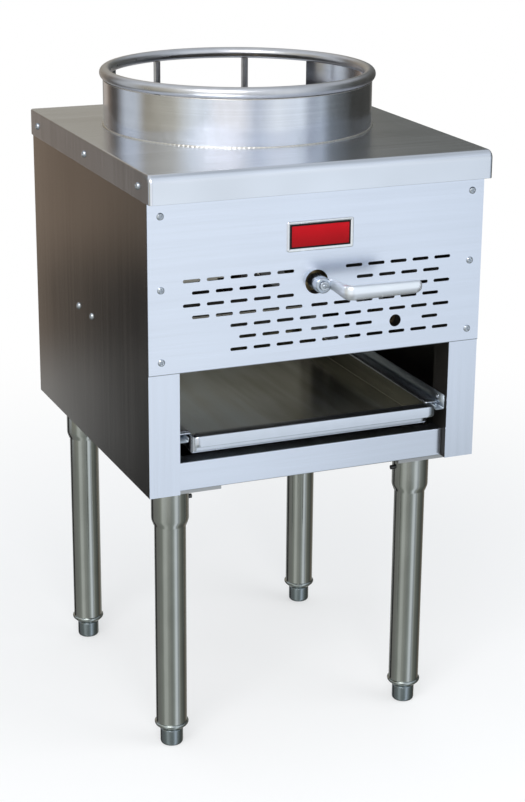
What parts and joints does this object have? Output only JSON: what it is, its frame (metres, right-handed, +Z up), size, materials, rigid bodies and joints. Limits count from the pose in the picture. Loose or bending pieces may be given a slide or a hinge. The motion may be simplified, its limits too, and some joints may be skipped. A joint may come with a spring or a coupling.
{
  "type": "wok range",
  "caption": "Free-standing gas wok range: steel cabinet on four tubular legs, raised wok ring over a jet burner, slotted front with a gas lever, and a slide-out drip tray.",
  "frame": {"origin": "on the floor, under the middle of the whole range", "axes": "+Z up, front towards -Y, the range's left side (seen from the front) towards -X"},
  "size_m": [0.462, 0.574, 0.8685],
  "materials": {
    "deck_steel": "brushed stainless sheet, warm grey",
    "ring_steel": "rolled stainless, satin, lengthwise grain",
    "side_steel": "brushed stainless sheet seen darker",
    "front_steel": "bright brushed stainless sheet",
    "frame_steel": "folded stainless sheet, mill finish",
    "leg_steel": "satin stainless tube",
    "collar_steel": "turned steel, zinc plated",
    "foot_steel": "turned steel, dull zinc",
    "tray_steel": "stainless pan, slightly stained",
    "runner_steel": "galvanised channel",
    "screw_steel": "plated pan-head screws",
    "cast_iron": "rough black casting",
    "jet_brass": "machined brass",
    "shutter_steel": "pressed disc",
    "valve_brass": "forged brass, dull",
    "lever_alloy": "cast alloy, satin",
    "pipe_black": "black gas pipe",
    "pilot_alloy": "soft drawn tube",
    "chamber_steel": "rolled sheet, heat tinted",
    "badge_chrome": "polished frame",
    "badge_red": "plain red plate"
  },
  "bodies": {
    "cabinet": {"top_cap": "deck_steel", "wok_ring_wall": "ring_steel", "wok_ring_rim": "ring_steel", "wok_ring_posts": "ring_steel", "left_side_panel": "side_steel", "right_side_panel": "side_steel", "back_panel": "side_steel", "front_panel": "front_steel", "left_front_post": "front_steel", "right_front_post": "front_steel", "front_rail": "front_steel", "bottom_panel": "frame_steel", "left_rear_post": "frame_steel", "right_rear_post": "frame_steel", "rear_rail": "frame_steel", "left_base_rail": "frame_steel", "right_base_rail": "frame_steel", "leg_mount_plates": "frame_steel", "burner_crossbar": "frame_steel", "leg_socket_front_left": "leg_steel", "leg_socket_front_right": "leg_steel", "leg_socket_rear_left": "leg_steel", "leg_socket_rear_right": "leg_steel", "leg_tube_front_left": "leg_steel", "leg_tube_front_right": "leg_steel", "leg_tube_rear_left": "leg_steel", "leg_tube_rear_right": "leg_steel", "foot_collars": "collar_steel", "left_tray_runner": "runner_steel", "right_tray_runner": "runner_steel", "front_panel_screws": "screw_steel", "back_panel_screws": "screw_steel", "cap_screws": "screw_steel", "side_panel_screws": "screw_steel", "runner_screws": "screw_steel", "leg_set_screws": "screw_steel", "burner_casting": "cast_iron", "burner_tips": "jet_brass", "valve_orifice": "jet_brass", "pilot_burner": "jet_brass", "pilot_valve": "jet_brass", "gas_valve_body": "valve_brass", "manifold_pipe": "pipe_black", "pipe_elbow": "pipe_black", "inlet_pipe": "pipe_black", "pilot_supply_tube": "pilot_alloy", "pilot_tube": "pilot_alloy", "combustion_chamber": "chamber_steel", "badge_frame": "badge_chrome", "badge_plate": "badge_red"},
    "tray": {"drip_tray": "tray_steel"},
    "lever": {"valve_stem": "lever_alloy", "control_lever": "lever_alloy", "lever_screw": "screw_steel"},
    "shutter": {"air_shutter": "shutter_steel"},
    "foot_fl": {"foot_front_left": "foot_steel"},
    "foot_fr": {"foot_front_right": "foot_steel"},
    "foot_rl": {"foot_rear_left": "foot_steel"},
    "foot_rr": {"foot_rear_right": "foot_steel"}
  },
  "joints": [
    {"name": "tray_slide", "type": "slide", "parent": "cabinet", "child": "tray", "axis": [0, -1, 0], "range_m": [0, 0.34]},
    {"name": "lever_turn", "type": "hinge", "parent": "cabinet", "child": "lever", "pos_m": [-0.0044, -0.216, 0.641], "axis": [0, 1, 0], "range_deg": [0, 90]},
    {"name": "shutter_turn", "type": "hinge", "parent": "cabinet", "child": "shutter", "pos_m": [-0.0044, -0.1073, 0.641], "axis": [0, 1, 0], "range_deg": [0, 45]},
    {"name": "foot_fl_screw", "type": "slide", "parent": "cabinet", "child": "foot_fl", "axis": [0, 0, -1], "range_m": [0, 0.025]},
    {"name": "foot_fr_screw", "type": "slide", "parent": "cabinet", "child": "foot_fr", "axis": [0, 0, -1], "range_m": [0, 0.025]},
    {"name": "foot_rl_screw", "type": "slide", "parent": "cabinet", "child": "foot_rl", "axis": [0, 0, -1], "range_m": [0, 0.025]},
    {"name": "foot_rr_screw", "type": "slide", "parent": "cabinet", "child": "foot_rr", "axis": [0, 0, -1], "range_m": [0, 0.025]}
  ]
}
